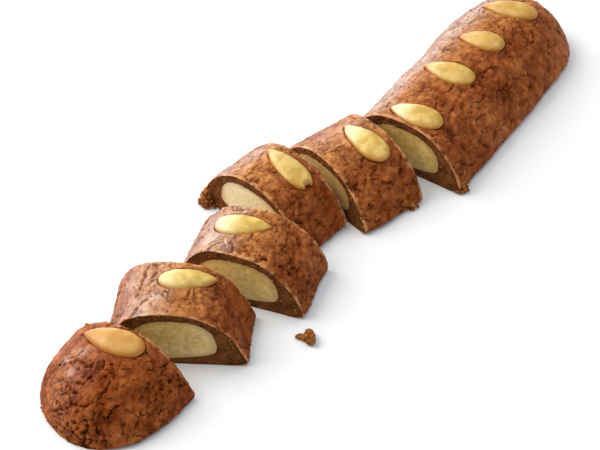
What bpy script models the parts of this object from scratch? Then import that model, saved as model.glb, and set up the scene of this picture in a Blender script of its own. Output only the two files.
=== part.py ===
"""A filled speculaas bar: a spiced biscuit log baked round a core of almond paste, its top set
with blanched almond halves. One end is cut off as a heel and four slices, which still stand in
line with the uncut rest of the bar, each a little turned and slid on its neighbour.

Row frame: +X from the heel to the uncut end, +Z up, origin on the ground under the middle.
Each piece has its own frame, an empty on the ground: +x along the bar, +y to its left.
"""

import math
from collections import namedtuple

import bmesh
import bpy
from mathutils import Euler, Vector, noise
from mathutils.bvhtree import BVHTree

MM = 0.001

# The bar's cross-section: a dome on a flat base.
HALF_WIDTH = 26.8 * MM
FOOT_RADIUS = 1.3 * MM  # rounding where the side meets the base
DOME_POWER = 1.5  # the dome is |y / half width| ** fullness + (z / height) ** DOME_POWER = 1
FOOT_FADE = 4.5 * MM  # height over which a spread foot fades out
FOOT_INSIDE = 0.6  # share of a foot's spread that is left far from a cut
FOOT_DRAG = 8.0 * MM  # distance from a cut over which the spread falls to that

# The almond paste core, as seen on a cut.
CORE_HALF_WIDTH = 16.8 * MM
CORE_BOTTOM = 3.2 * MM
CORE_WIDEST = 8.0 * MM  # height of its widest place
CORE_ROOF = 3.9 * MM  # crust over the core
CORE_SIDE_POWER = 2.5
CORE_LEAN = 0.45  # share of the dome's lean that the core follows
FIT_GAP = 0.35 * MM  # between the core and the crust around it
END_WALL = 9.0 * MM  # crust between the core and a closed end
CORE_END_ROUND = 9.0 * MM
CORE_START = math.radians(-22)  # where its outline starts, so that both outlines' points line up

# The rise and fall of a baked surface.
SWELL = 0.55 * MM
SWELL_LENGTH = 17.0 * MM
SWELL_HEART = 0.4  # height of the point it swells from, as a share of the piece's height
RIM_ROUND = 0.5 * MM  # softened rim where the knife left the crust

# A blanched almond half, flat side down.
ALMOND_THICKNESS = 4.3 * MM
ALMOND_SUNK = 1.7 * MM
ALMOND_GAP = 0.4 * MM  # how much wider its socket is
ALMOND_TIP = 0.55  # how strongly one end draws to a point

# Mesh fineness.
DOME_POINTS = 25
BASE_POINTS = 7
ROW_STEP = 5.0 * MM
END_ROWS = 7
ALMOND_POINTS = 18

Almond = namedtuple("Almond", "x y heading length width")
Piece = namedtuple(
    "Piece", "name along aside turn length wedge height lean fullness feet end almonds"
)

# along, aside and turn place the middle of a piece in the row; wedge is the angle between its
# two ends seen from above; lean is how far its top is pushed to the left; feet is how far its
# left and right sides spread at the base; end is -1 for a closed end at -x, +1 at +x and 0 for a
# slice cut on both sides. An almond's heading is where its pointed end aims, from the piece's +x.
PIECES = (
    Piece("heel", -133.3, -0.9, 5.5, 41.5, 6, 24.2, 1.2, 2.15, (0, 2.6), -1,
          (Almond(12.3, 0.9, 104, 24.0, 12.6),)),
    Piece("slice_1", -85.9, -1.7, 31.0, 29.0, -5, 25.4, 3.6, 2.9, (0, 1.4), 0,
          (Almond(5.4, -2.2, -80, 23.0, 10.6),)),
    Piece("slice_2", -44.7, -4.0, 17.5, 28.6, 3, 24.6, 2.8, 2.6, (0, 0.7), 0,
          (Almond(3.2, 4.8, -76, 22.6, 11.8),)),
    Piece("slice_3", -9.3, 12.0, -5.0, 26.4, 2, 24.1, 1.8, 2.2, (2.6, 0.9), 0,
          (Almond(4.6, -3.2, 86, 25.0, 11.2),)),
    Piece("slice_4", 22.9, -1.5, -13.0, 30.0, 2, 22.6, 0.6, 2.4, (0.4, 2.2), 0,
          (Almond(4.8, -3.2, 94, 24.6, 12.2),)),
    Piece("uncut", 98.7, -8.7, 5.0, 111.0, 6.5, 24.6, 1.4, 2.6, (0, 2.4), 1,
          (Almond(-48.4, -1.0, 99, 23.0, 12.4),
           Almond(-17.4, 1.2, 100, 22.4, 12.0),
           Almond(7.6, 0.2, 104, 20.0, 12.0),
           Almond(33.4, 0.6, 112, 23.4, 12.0))),
)
CLOSED_END_ROUND = {"heel": 31.0 * MM, "uncut": 46.0 * MM}
CLOSED_END_POWER = {"heel": 2.1, "uncut": 3.0}
END_DROP = 0.8  # the height of a closed end falls as this power of its width

CRUST_COLOUR = (0.235, 0.090, 0.036, 1.0)
CORE_COLOUR = (0.560, 0.440, 0.215, 1.0)
ALMOND_COLOUR = (0.840, 0.590, 0.230, 1.0)


def signed_power(value, power):
    return math.copysign(abs(value) ** power, value)


def clear_scene():
    for old in list(bpy.data.objects):
        bpy.data.objects.remove(old)


def finish(name, colour, roughness):
    """A plain Principled material."""
    material = bpy.data.materials.new(name)
    material.use_nodes = True
    shader = material.node_tree.nodes["Principled BSDF"]
    shader.inputs["Base Color"].default_value = colour
    shader.inputs["Roughness"].default_value = roughness
    shader.inputs["Metallic"].default_value = 0.0
    return material


# ---------------------------------------------------------------- outlines


def dome_outline(piece, foot_share):
    """The crust's outer outline as (y, z) points, from the right foot over the top to the left
    foot and back along the base. Its feet spread by foot_share of their full amount."""
    height = piece.height * MM
    wall = height - FOOT_RADIUS
    points = []
    for i in range(DOME_POINTS):
        angle = math.pi * i / (DOME_POINTS - 1)
        rise = abs(math.sin(angle)) ** (2 / DOME_POWER)
        y = -HALF_WIDTH * signed_power(math.cos(angle), 2 / piece.fullness)
        z = FOOT_RADIUS + wall * rise
        y += piece.lean * MM * z / height
        left, right = piece.feet
        spread = left if y > 0 else -right
        points.append((y + spread * MM * foot_share * math.exp(-z / FOOT_FADE), z))
    right, left = points[0][0] + FOOT_RADIUS, points[-1][0] - FOOT_RADIUS
    for i in range(BASE_POINTS):
        points.append((left + (right - left) * i / (BASE_POINTS - 1), 0.0))
    return points


def core_outline(piece, grown):
    """The core's outline with as many points as the crust's, grown by a gap for its cavity."""
    count = DOME_POINTS + BASE_POINTS
    top = piece.height * MM - CORE_ROOF + grown
    bottom = CORE_BOTTOM - grown
    points = []
    for i in range(count):
        angle = CORE_START + 2 * math.pi * i / count
        y = -(CORE_HALF_WIDTH + grown) * signed_power(math.cos(angle), 2 / CORE_SIDE_POWER)
        lift = signed_power(math.sin(angle), 2 / CORE_SIDE_POWER)
        z = CORE_WIDEST + lift * (top - CORE_WIDEST if lift > 0 else CORE_WIDEST - bottom)
        y += piece.lean * MM * CORE_LEAN
        points.append((y, z))
    return points


# ---------------------------------------------------------------- rings along a piece


def ring(piece, outline, x):
    """The outline stood up at distance x from the piece's middle, turned by its share of the
    wedge angle."""
    turn = math.radians(piece.wedge) * x / (piece.length * MM)
    return [Vector((x - y * math.sin(turn), y * math.cos(turn), z)) for y, z in outline]


def swollen(piece, points):
    """Pushes the points of a ring in and out by a smooth rise and fall that runs on from one
    piece to the next. The base stays flat: its points only move sideways."""
    heart = piece.height * MM * SWELL_HEART
    moved = []
    for p in points:
        push = 2 * SWELL * noise.noise((p + Vector((piece.along * MM, 0, p.z))) / SWELL_LENGTH)
        out = Vector((0, p.y, p.z - heart)).normalized()
        off_ground = min(1.0, p.z / (2 * FOOT_RADIUS))
        moved.append(Vector((p.x, p.y + out.y * push, max(0, p.z + out.z * push * off_ground))))
    return moved


def cut_rim(points, side):
    """The ring where the softened rim meets the flat of a cut: the last ring moved out to the
    side of the cut and in towards the middle. The base stays on the ground."""
    middle = sum(points, Vector()) / len(points)
    moved = []
    for p in points:
        inward = (middle - p).normalized() * RIM_ROUND
        rise = inward.z if p.z > 0 else 0.0
        moved.append(Vector((p.x + side * RIM_ROUND, p.y + inward.y, p.z + rise)))
    return moved


def end_scale(piece, x):
    """How much of its full section a piece keeps at distance x from its middle towards its closed
    end, where it draws in along a superellipse."""
    length, round_length = piece.length * MM, CLOSED_END_ROUND[piece.name]
    into_end = max(0.0, x - (length / 2 - round_length)) / round_length
    power = CLOSED_END_POWER[piece.name]
    return (1 - into_end**power) ** (1 / power)


def closed_end_stations(piece):
    """Where the rings of a closed piece lie, from the cut towards the closed end's tip."""
    length, round_length = piece.length * MM, CLOSED_END_ROUND[piece.name]
    straight = length - round_length
    rows = max(2, round(straight / ROW_STEP))
    stations = [-length / 2 + straight * i / rows for i in range(rows)]
    for i in range(END_ROWS):
        reach = math.sin(math.pi / 2 * i / END_ROWS) ** (2 / CLOSED_END_POWER[piece.name])
        stations.append(length / 2 - round_length * (1 - reach))
    return stations


def foot_share(from_cut):
    """How far the feet spread at a distance from the knife's cut, where they spread the most."""
    return FOOT_INSIDE + (1 - FOOT_INSIDE) * math.exp(-from_cut / FOOT_DRAG)


# ---------------------------------------------------------------- meshes


def lofted(name, rings, tips=(None, None), closed=False):
    """A mesh that joins the rings in turn. tips close its ends with a fan to a point; closed
    joins the last ring to the first, as in a tube with thick walls."""
    builder = bmesh.new()
    rows = [[builder.verts.new(p) for p in points] for points in rings]
    count = len(rows[0])
    pairs = list(zip(rows, rows[1:] + rows[:1] if closed else rows[1:]))
    for row, following in pairs:
        for i in range(count):
            j = (i + 1) % count
            builder.faces.new((row[i], row[j], following[j], following[i]))
    for tip, row in ((tips[0], rows[0]), (tips[1], rows[-1])):
        if tip is not None:
            point = builder.verts.new(tip)
            for i in range(count):
                builder.faces.new((row[i], row[(i + 1) % count], point))
    bmesh.ops.recalc_face_normals(builder, faces=builder.faces)
    mesh = bpy.data.meshes.new(name)
    builder.to_mesh(mesh)
    builder.free()
    mesh.shade_smooth()
    mesh.set_sharp_from_angle(angle=math.radians(50))
    return mesh


def slice_crust_mesh(piece):
    """A thick-walled tube, open where the core runs through both cuts."""
    half = piece.length * MM / 2
    rows = round(2 * half / ROW_STEP)
    outer = []
    for i in range(rows + 1):
        x = -half + 2 * half * i / rows
        x = min(max(x, -half + RIM_ROUND), half - RIM_ROUND)
        outline = dome_outline(piece, foot_share(half - abs(x)))
        outer.append(swollen(piece, ring(piece, outline, x)))
    cavity = core_outline(piece, FIT_GAP)
    inner = [ring(piece, cavity, x) for x in (half, -half)]
    first, last = cut_rim(outer[0], -1), cut_rim(outer[-1], 1)
    return lofted(piece.name, [first, *outer, last, *inner], closed=True)


def closed_crust_mesh(piece):
    """A log closed at one end, with a blind cavity for the core."""
    half = piece.length * MM / 2
    outer = []
    for station in closed_end_stations(piece):
        x = max(station, -half + RIM_ROUND)
        scale = end_scale(piece, x)
        outline = dome_outline(piece, foot_share(half + x))
        smaller = [(y * scale, z * scale**END_DROP) for y, z in outline]
        outer.append(swollen(piece, ring(piece, smaller, piece.end * x)))
    rim = cut_rim(outer[0], -piece.end)
    cavity = list(reversed(closed_core_rings(piece, FIT_GAP)))
    deepest = core_tip(piece, FIT_GAP)
    tip = Vector((piece.end * half, 0.0, 0.0))
    return lofted(piece.name, [*cavity, rim, *outer], tips=(deepest, tip))


def core_reach(piece, grown):
    """How far along the piece a blind core goes, measured towards the closed end."""
    return piece.length * MM / 2 - END_WALL + grown


def closed_core_rings(piece, grown):
    """Rings of a blind core from the cut to its rounded inner end."""
    half = piece.length * MM / 2
    outline = core_outline(piece, grown)
    reach = core_reach(piece, grown)
    round_from = reach - CORE_END_ROUND
    rows = max(1, round((round_from + half) / (3 * ROW_STEP)))
    stations = [(-half + (round_from + half) * i / rows, 1.0) for i in range(rows + 1)]
    for angle in (math.radians(30), math.radians(56), math.radians(76)):
        stations.append((round_from + CORE_END_ROUND * math.sin(angle), math.cos(angle) ** 0.7))
    rings = []
    for x, rounding in stations:
        scale = rounding * end_scale(piece, x)
        shrunk = [(y * scale, CORE_WIDEST + (z - CORE_WIDEST) * scale) for y, z in outline]
        rings.append(ring(piece, shrunk, piece.end * x))
    return rings


def core_tip(piece, grown):
    return Vector((piece.end * core_reach(piece, grown), 0.0, CORE_WIDEST))


def core_mesh(piece):
    """The almond paste, cut flush with the crust."""
    name = piece.name + "_filling"
    half = piece.length * MM / 2
    if piece.end:
        rings = closed_core_rings(piece, 0.0)
        cut_middle = sum(rings[0], Vector()) / len(rings[0])
        return lofted(name, rings, tips=(cut_middle, core_tip(piece, 0.0)))
    outline = core_outline(piece, 0.0)
    rings = [ring(piece, outline, x) for x in (-half, half)]
    middles = [sum(points, Vector()) / len(points) for points in rings]
    return lofted(name, rings, tips=middles)


def almond_mesh(name, almond, grown):
    """Half a blanched almond: flat below, domed above, round at one end and drawn to a point at
    the other, which lies on its +x. grown widens it all round, to cut its socket."""
    half_length = almond.length * MM / 2 + grown
    half_width = almond.width * MM / 2 + grown
    widest = max(
        math.sin(a) * math.sin(a / 2) ** ALMOND_TIP for a in (i * 0.02 for i in range(157))
    )
    outline = []
    for i in range(ALMOND_POINTS):
        angle = 2 * math.pi * (i + 0.5) / ALMOND_POINTS
        narrowing = abs(math.sin(angle / 2)) ** ALMOND_TIP
        outline.append((math.cos(angle), math.sin(angle) * narrowing / widest))
    rings = []
    for share, lift in ((0.94, 0.0), (1.0, 0.22), (0.97, 0.50), (0.80, 0.83), (0.42, 0.98)):
        z = -grown + lift * (ALMOND_THICKNESS + 2 * grown)
        rings.append([Vector((x * half_length * share, y * half_width * share, z)) for x, y in outline])
    bottom = Vector((0, 0, -grown))
    top = Vector((0, 0, ALMOND_THICKNESS + grown))
    return lofted(name, rings, tips=(bottom, top))


# ---------------------------------------------------------------- objects


def placed(name, mesh, parent, material=None):
    obj = bpy.data.objects.new(name, mesh)
    bpy.context.scene.collection.objects.link(obj)
    obj.parent = parent
    if material:
        mesh.materials.append(material)
    return obj


def surface_under(tree, x, y, piece):
    """Height and average normal of the crust over (x, y) of the piece."""
    reach = 4 * MM
    normal = Vector()
    for dx, dy in ((0, 0), (reach, 0), (-reach, 0), (0, reach), (0, -reach)):
        start = Vector((x + dx, y + dy, 2 * piece.height * MM))
        normal += tree.ray_cast(start, Vector((0, 0, -1)))[1]
    height = tree.ray_cast(Vector((x, y, 2 * piece.height * MM)), Vector((0, 0, -1)))[0].z
    return height, normal.normalized()


def set_almond(piece, index, almond, crust, tree, parent, material):
    """Presses one almond into the crust: the almond itself, and the cut for its socket."""
    number = f"_{index + 1}" if len(piece.almonds) > 1 else ""
    name = f"{piece.name}_almond{number}"
    height, normal = surface_under(tree, almond.x * MM, almond.y * MM, piece)
    tilt = Vector((0, 0, 1)).rotation_difference(normal)
    facing = tilt @ Euler((0, 0, math.radians(almond.heading))).to_quaternion()
    foot = Vector((almond.x * MM, almond.y * MM, height)) - normal * ALMOND_SUNK
    body = placed(name, almond_mesh(name, almond, 0.0), parent, material)
    cutter = placed(name + "_socket", almond_mesh(name + "_socket", almond, ALMOND_GAP), parent)
    for obj in (body, cutter):
        obj.rotation_mode = "QUATERNION"
        obj.rotation_quaternion = facing
        obj.location = foot
    cutter.hide_render = True
    cutter.display_type = "WIRE"
    cut = crust.modifiers.new("socket" + number, "BOOLEAN")
    cut.operation = "DIFFERENCE"
    cut.solver = "EXACT"
    cut.object = cutter


def build_piece(piece, row, materials):
    frame = bpy.data.objects.new(piece.name, None)
    bpy.context.scene.collection.objects.link(frame)
    frame.parent = row
    frame.location = (piece.along * MM, piece.aside * MM, 0)
    frame.rotation_euler = (0, 0, math.radians(piece.turn))
    mesh = closed_crust_mesh(piece) if piece.end else slice_crust_mesh(piece)
    crust = placed(piece.name + "_crust", mesh, frame, materials["crust"])
    placed(piece.name + "_filling", core_mesh(piece), frame, materials["filling"])
    builder = bmesh.new()
    builder.from_mesh(mesh)
    tree = BVHTree.FromBMesh(builder)
    builder.free()
    for index, almond in enumerate(piece.almonds):
        set_almond(piece, index, almond, crust, tree, frame, materials["almond"])


def stand_over_origin(row):
    """Moves the row so that the middle of its outer box is over the origin."""
    bpy.context.view_layer.update()
    graph = bpy.context.evaluated_depsgraph_get()
    corners = []
    for obj in bpy.context.scene.objects:
        if obj.type == "MESH" and not obj.hide_render:
            shape = obj.evaluated_get(graph)
            corners += [shape.matrix_world @ v.co for v in shape.data.vertices]
    for axis in (0, 1):
        values = [p[axis] for p in corners]
        row.location[axis] -= (min(values) + max(values)) / 2


def main():
    clear_scene()
    materials = {
        "crust": finish("baked_crust", CRUST_COLOUR, 0.62),
        "filling": finish("almond_paste", CORE_COLOUR, 0.7),
        "almond": finish("toasted_almond", ALMOND_COLOUR, 0.45),
    }
    row = bpy.data.objects.new("row", None)
    bpy.context.scene.collection.objects.link(row)
    for piece in PIECES:
        build_piece(piece, row, materials)
    stand_over_origin(row)


main()
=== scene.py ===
import math
from collections import namedtuple

import bmesh
import bpy
import numpy as np
from mathutils import Matrix, Vector
from mathutils.bvhtree import BVHTree


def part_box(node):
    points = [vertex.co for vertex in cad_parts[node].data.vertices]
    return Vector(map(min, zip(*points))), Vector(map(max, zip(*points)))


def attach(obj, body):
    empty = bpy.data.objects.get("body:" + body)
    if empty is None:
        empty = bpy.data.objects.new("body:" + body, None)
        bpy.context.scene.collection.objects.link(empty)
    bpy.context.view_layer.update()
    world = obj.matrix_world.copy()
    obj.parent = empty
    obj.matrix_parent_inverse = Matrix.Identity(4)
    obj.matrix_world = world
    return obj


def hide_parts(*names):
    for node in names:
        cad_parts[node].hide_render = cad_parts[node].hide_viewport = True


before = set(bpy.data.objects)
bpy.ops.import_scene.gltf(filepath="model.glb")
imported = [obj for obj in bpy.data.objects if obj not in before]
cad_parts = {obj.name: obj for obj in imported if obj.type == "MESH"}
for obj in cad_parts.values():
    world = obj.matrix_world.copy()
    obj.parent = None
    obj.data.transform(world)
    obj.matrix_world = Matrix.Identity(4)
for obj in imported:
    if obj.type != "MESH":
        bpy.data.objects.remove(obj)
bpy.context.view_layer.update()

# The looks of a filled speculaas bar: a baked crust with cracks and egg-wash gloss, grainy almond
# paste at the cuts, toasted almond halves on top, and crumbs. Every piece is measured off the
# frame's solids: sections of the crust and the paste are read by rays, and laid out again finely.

MM = 0.001
UP = np.array((0.0, 0.0, 1.0))
PIECES = ("heel", "slice_1", "slice_2", "slice_3", "slice_4", "uncut")
CLOSED = ("heel", "uncut")  # with one end that isn't cut

# Fineness of the crust and the paste.
COLUMNS = 264  # round a section
ROW_STEP = 0.42 * MM
CUT_ROWS = 22  # across the crust on a cut
PASTE_ROWS = 30  # from the middle of the paste to its edge
HIDDEN_ROWS = 8  # along walls that nothing shows of
BASE_SHARE = 0.3  # how densely columns lie under the base, against the dome

# How the frame's solids are read.
WELD = 0.01 * MM  # corners this close are one
UPRIGHT = 0.01  # an upright face's normal rises less than this
ALIGNED = 0.9999  # two faces whose normals' product is above this face the same way
HEART = 9.0 * MM  # height of the line that a section is measured from
HEART_SHARE = 0.42  # where the dome is low, that line lies at this share of its height
REACH = 80.0 * MM  # further out than any section
MEASURED_SHARE = 0.3  # of the length: the section that sets how columns are spaced
FINE_TURNS = 1441  # directions a quarter of a degree apart
SOCKET_MARGIN = 12  # such directions left out on both sides of an almond
SOCKET_ROWS = 3  # how many rows and columns beside an almond are drawn over with it
FOOT_HEIGHT = 0.4 * MM  # where the dome starts
INSIDE_CUT = 0.7 * MM  # an outline at a cut is read past the softened rim
SLIP = 0.4 * MM  # a ray that went this much deeper than those beside it slipped through
PROFILE_STEPS = 600  # along a piece, to find where its rings lie
HEALING_ROUNDS = 400  # enough for radii to settle under an almond
SMOOTHING = 1.3 * MM  # takes out the solids' flat faces
PASTE_ROW_BLUR = 0.3  # rows of the paste's outline that are smoothed together
SEAM = 0.3 * MM  # the crust's cavity lies this far outside the paste's solid
CAVITY_TIP = 0.004  # of the length: the cavity closes this far past the paste's tip
PASTE_SWELL = 0.25 * MM  # the paste fills the cavity up to a hair

# How the skin rounds over into a cut.
RIM_DROP = 0.45 * MM  # at the very edge
RIM_WIDTH = 0.3 * MM  # how soon that fades

# How almonds sit in the crust.
SOCKET_ROOM = 0.25 * MM  # between an almond's side and the crust
SOCKET_DROP = 0.15 * MM  # between its flat side and the crust
SOCKET_SLOPE = 0.7 * MM  # across a socket's wall
LIP_HEIGHT = 0.35 * MM  # crust pushed up round an almond
LIP_WIDTH = 0.9 * MM
ALMOND_TIP = 0.55  # how strongly one end draws to a point
ALMOND_BALL = (72, 48)  # segments and rings of the ball that an almond half is made from

# The almonds, from the heel on: how toasted each is, and how pale its left end is, as painted light
# towards the lamps.
TOASTING = (0.62, 0.02, 0.0, 0.12, 0.0, 0.08, 0.20, 0.36, 0.36)
LIT_ENDS = (0.1, 0.5, 1.0, 0.4, 1.2, 1.4, 0.5, 0.2, 0.3)
BENDS = (0.05, -0.04, 0.0)  # of the width, in turn
BITES = {"slice_3_almond": 1.8 * MM}  # how deep a notch its round end has

# How far apart the patterns of two pieces in a row are read.
CRUST_SEED = 0.37
PASTE_SEED = 0.21

# How pocked each crust is, and how much painted shade lies on a paste, or, below 0, painted light.
POCKED = {"heel": 1.0, "slice_1": 0.6, "slice_2": 0.9, "slice_3": 0.7, "slice_4": 0.5, "uncut": 0.3}
PASTE_LIGHT_AND_SHADE = {"slice_3": -0.8, "slice_4": 0.8}

# The crumb on the ground: how far along the second slice's box and how far off its right side it
# lies, and its lumps, each as its size, its turn in degrees and its place, in mm.
LOOSE_AT = (0.16, 7.5 * MM)
LOOSE_LUMPS = ((6.4, 40, 0.2, -0.4), (3.2, -50, -1.0, 3.4), (3.4, 10, -0.2, 1.6))

# Where scattered crumbs cling, as shares of the densest: along the rims of cuts, along the feet
# and all over the cuts.
ON_RIM, ON_FOOT, ON_CUT = 0.5, 0.35, 0.12
CLINGING_RIM = 0.25  # of the way from the skin to the paste
CLINGING_FOOT = (1 * MM, 4 * MM)  # from this height on fewer cling to a foot, and from that one none
CLINGING_HEIGHT = 0.9 * MM  # none clings lower than this, where it could reach below 0
CLINGING_HUG = 0.2  # none clings where the crust hugs an almond more than this

CRUMB_BALL = (40, 24)  # segments and rings of the ball that a larger crumb is made from

# A crumb baked on the skin: its piece, its place, as for cracks below, its size in mm and its turn
# in degrees.
Knob = namedtuple("Knob", "piece along around size turn")
KNOB = Knob("heel", 2.2, 0.27, 2.4, 60)

# Crumbs heaped at the feet of cuts: where on the skin they start, how many, and in mm how far they
# spread, how high they reach, how far they are moved and how large they are.
Heap = namedtuple("Heap", "along around lumps spread rise shift largest")
HEAPS = {
    "slice_3": Heap(0.0, 0.02, 22, 3.8, 5.0, (-1.2, -2.6), 4.6),
    "slice_4": Heap(24.5, 0.97, 14, 3.0, 3.0, (0.3, 0.4), 2.6),
    "uncut": Heap(2.0, 0.96, 18, 3.4, 4.0, (0.8, 0.6), 2.8),
}
HEAP_SEED = 11
HEAP_SHRINK = 0.52  # how much smaller the outermost lumps are than the largest
HEAP_SEAT = 0.35  # of a lump's size: how high its middle lies when it's on the ground

CRACK_STEPS = 5  # between two bends of a crack, so that it follows the skin
# The crust's long cracks, each as a line of places: mm from the cut, and how far round the dome
# from the left foot, at 0, to the right one, at 1.
CRACKS = {
    "heel": (
        ((38, 0.21), (38, 0.35), (38, 0.44), (36.5, 0.47), (36.5, 0.54), (35, 0.61), (32.5, 0.62)),
        ((24.5, 0.29), (23.5, 0.35), (22, 0.37), (22, 0.41), (23, 0.46), (20.5, 0.48), (18, 0.52)),
        ((39.5, 0.54), (41, 0.57), (41, 0.77)),
        ((37, 0.73), (38, 0.79), (38, 0.87), (37, 0.97)),
        ((20, 0.60), (22.5, 0.62), (26.5, 0.63), (29, 0.63), (31.5, 0.63)),
        ((14.5, 0.76), (16.5, 0.77), (19.5, 0.78), (21.5, 0.80)),
        ((14, 0.78), (14.5, 0.82), (17, 0.84)),
        ((24, 0.84), (26, 0.87), (29, 0.91), (31, 0.95)),
        ((25, 0.18), (29, 0.21), (31.5, 0.21)),
        ((31, 0.37), (30.5, 0.43), (29.5, 0.49), (27, 0.53)),
        ((3.5, 0.74), (5, 0.77), (8, 0.77)),
        ((27.5, 0.74), (31, 0.74), (33.5, 0.76)),
        ((31, 0.85), (33, 0.89), (33, 0.96)),
    ),
    "slice_1": (
        ((1, 0.32), (3, 0.33), (5.5, 0.35), (7.5, 0.37), (8, 0.39)),
        ((10.5, 0.32), (15, 0.33), (19, 0.33), (23.5, 0.34), (26.5, 0.35)),
        ((16, 0.38), (19.5, 0.38), (23.5, 0.39)),
        ((6, 0.40), (4.5, 0.41)),
        ((11, 0.45), (9.5, 0.46)),
        ((6, 0.66), (4, 0.69), (2.5, 0.72), (0.5, 0.74)),
        ((15, 0.56), (10.5, 0.56), (6.5, 0.58)),
        ((24.5, 0.70), (21.5, 0.71), (18, 0.69)),
        ((3.5, 0.85), (0, 0.84), (8.5, 1.00)),
        ((6.5, 0.62), (5, 0.62)),
    ),
    "slice_2": (
        ((25, 0.66), (21, 0.67), (19, 0.68), (15.5, 0.68), (12.5, 0.68)),
        ((28, 0.66), (24.5, 0.66)),
        ((7, 0.44), (5, 0.47), (1.5, 0.47)),
        ((13.5, 0.52), (9.5, 0.52)),
        ((9, 0.62), (7.5, 0.63)),
        ((4.5, 0.60), (3.5, 0.60)),
        ((15.5, 0.62), (14.5, 0.64)),
        ((15, 0.80), (10.5, 0.80), (7, 0.81)),
        ((23, 0.72), (19, 0.72)),
    ),
    "slice_3": (
        ((1.5, 0.44), (4, 0.44), (7.5, 0.43), (11, 0.42), (13, 0.43)),
        ((12.5, 0.40), (16, 0.38), (19, 0.37)),
        ((4.5, 0.50), (2, 0.51)),
        ((7.5, 0.61), (6, 0.63)),
        ((1, 0.56), (2.5, 0.60), (5, 0.61)),
        ((11, 0.88), (13.5, 0.87), (13, 0.84)),
        ((9.5, 0.74), (9, 0.78), (6.5, 0.78)),
    ),
    "slice_4": (
        ((2, 0.48), (4.5, 0.49), (6, 0.50), (9.5, 0.49), (12, 0.50)),
        ((11, 0.74), (14.5, 0.76), (16.5, 0.79), (19, 0.81)),
        ((26, 0.74), (24, 0.78)),
        ((17, 0.95), (19.5, 0.92), (23.5, 0.92), (25, 0.90), (24.5, 0.85)),
        ((10, 0.70), (8, 0.74)),
        ((13.5, 0.62), (10, 0.66)),
        ((0, 0.87), (1.5, 0.91), (3.5, 0.92)),
    ),
    "uncut": (
        ((65.5, 0.59), (62.5, 0.59), (59, 0.62), (55, 0.64), (51, 0.62)),
        ((51, 0.62), (47.5, 0.62), (44, 0.63), (41, 0.65), (37, 0.63)),
        ((41.5, 0.69), (38.5, 0.71), (34.5, 0.72)),
        ((33.5, 0.55), (31, 0.57), (27, 0.57)),
        ((27, 0.63), (23, 0.65), (18.5, 0.66), (14, 0.68)),
        ((10, 0.72), (11, 0.75), (12, 0.75)),
        ((6, 0.70), (3.5, 0.69), (1.5, 0.68)),
        ((79.5, 0.52), (76.5, 0.55), (73, 0.60), (69.5, 0.60)),
        ((84.5, 0.61), (81.5, 0.66), (76, 0.67)),
        ((5, 0.84), (1, 0.84), (0.5, 0.85)),
        ((6, 0.85), (9.5, 0.90), (14, 0.92)),
        ((42.5, 0.88), (38, 0.86), (35.5, 0.88), (32.5, 0.89), (30, 0.90)),
        ((54, 0.77), (50.5, 0.79), (50.5, 0.84)),
        ((65, 0.86), (61, 0.88)),
        ((26.5, 0.77), (32.5, 0.78)),
        ((22, 0.86), (25.5, 0.92)),
    ),
}

# Where egg wash lies thickest: mm from the cut, how far round the dome, mm across, and how thick.
GLAZE = {
    "heel": (
        (22.0, 0.31, 8.0, 0.5),
        (17.8, 0.38, 8.0, 0.45),
        (27.0, 0.37, 7.0, 0.4),
        (34.0, 0.24, 7.0, 0.3),
    ),
    "slice_1": (
        (8.7, 0.42, 9.0, 1.0),
        (17.0, 0.31, 14.0, 0.5),
        (3.0, 0.38, 9.0, 0.75),
        (15.0, 0.42, 9.0, 0.45),
    ),
    "slice_2": ((7.6, 0.33, 18.0, 0.85), (4.0, 0.41, 9.0, 0.85), (1.5, 0.25, 8.0, 0.85)),
    "slice_3": ((5.2, 0.34, 12.0, 0.4),),
    "slice_4": ((6.4, 0.38, 14.0, 0.25), (29.3, 0.49, 6.0, 0.4)),
    "uncut": ((8.4, 0.38, 14.0, 0.35),),
}

# Two tones are weaker low on the left: how much is left of them at the foot, and where round the
# dome they start to grow, and over how much of it.
LOW_LEFT = {"pale": (0.1, 0.22, 0.2), "wash": (0.25, 0.10, 0.12)}

# The skin's tones: how pale it is, as painted light on the left, towards the lamps, how washed with
# egg, and how dark, as painted shade on the right, away from the lamps. The first two are as much as
# they say from the left up to one place round the dome, and end at another. The last begins at one
# place, and is as much as it says from another on.
Tones = namedtuple("Tones", "pale wash dusk")
TONES = {
    "heel": Tones((0.0, 0.36, 0.74), (0.12, 0.40, 0.60), (0.5, 0.05, 0.45)),
    "slice_1": Tones((0.85, 0.48, 0.78), (0.52, 0.40, 0.54), (0.9, 0.72, 0.92)),
    "slice_2": Tones((0.85, 0.44, 0.74), (0.72, 0.40, 0.52), (0.0, 0.7, 0.9)),
    "slice_3": Tones((0.85, 0.44, 0.70), (0.65, 0.30, 0.46), (0.5, 0.72, 0.92)),
    "slice_4": Tones((0.90, 0.46, 0.72), (0.38, 0.36, 0.54), (0.2, 0.72, 0.92)),
    "uncut": Tones((0.72, 0.38, 0.60), (1.00, 0.26, 0.44), (0.0, 0.7, 0.9)),
}


# ---------------------------------------------------------------- building trees


class Value:
    """What comes out of a node. Arithmetic on it adds Math nodes to its tree."""

    def __init__(self, socket):
        self.socket, self.tree = socket, socket.id_data

    def __add__(self, other):
        return calc("ADD", self, other)

    def __sub__(self, other):
        return calc("SUBTRACT", self, other)

    def __mul__(self, other):
        return calc("MULTIPLY", self, other)

    def __truediv__(self, other):
        return calc("DIVIDE", self, other)

    def __pow__(self, other):
        return calc("POWER", self, other)

    def __radd__(self, other):
        return calc("ADD", other, self)

    def __rsub__(self, other):
        return calc("SUBTRACT", other, self)

    def __rmul__(self, other):
        return calc("MULTIPLY", other, self)


def feed(socket, value):
    """Links a socket to what a node gives, or sets it to a plain value."""
    if isinstance(value, Value):
        value.tree.links.new(value.socket, socket)
    else:
        socket.default_value = value


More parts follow.
